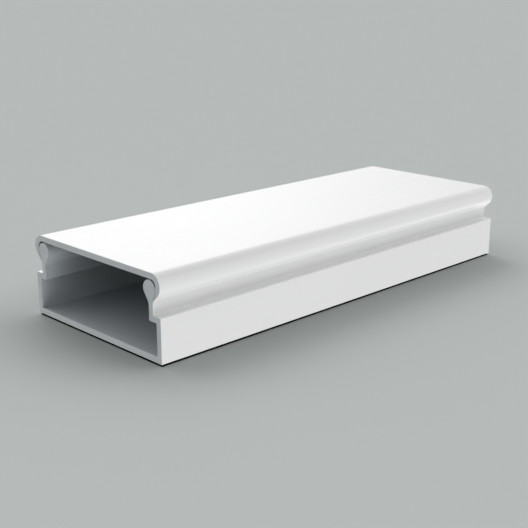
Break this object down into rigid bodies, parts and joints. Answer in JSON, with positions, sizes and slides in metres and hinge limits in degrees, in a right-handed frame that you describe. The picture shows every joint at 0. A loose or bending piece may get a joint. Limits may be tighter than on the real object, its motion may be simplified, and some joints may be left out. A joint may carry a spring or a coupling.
{
  "type": "cable raceway with clip-on cover",
  "caption": "Short length of white PVC cable raceway: an open channel with a bead along each neck, and a flat cover whose curled edges clip over the beads.",
  "frame": {"origin": "middle of the channel's flat wall side, halfway along its length", "axes": "+X along the raceway, +Y across it, +Z away from the wall, towards the cover"},
  "size_m": [0.13, 0.05, 0.0209],
  "materials": {
    "channel_pvc": "satin",
    "cover_pvc": "gloss"
  },
  "bodies": {
    "channel": {"base_channel": "channel_pvc"},
    "cover": {"clip_on_cover": "cover_pvc"}
  },
  "joints": [
    {"name": "cover_slide", "type": "slide", "parent": "channel", "child": "cover", "axis": [1, 0, 0], "range_m": [-0.132, 0.132]}
  ]
}
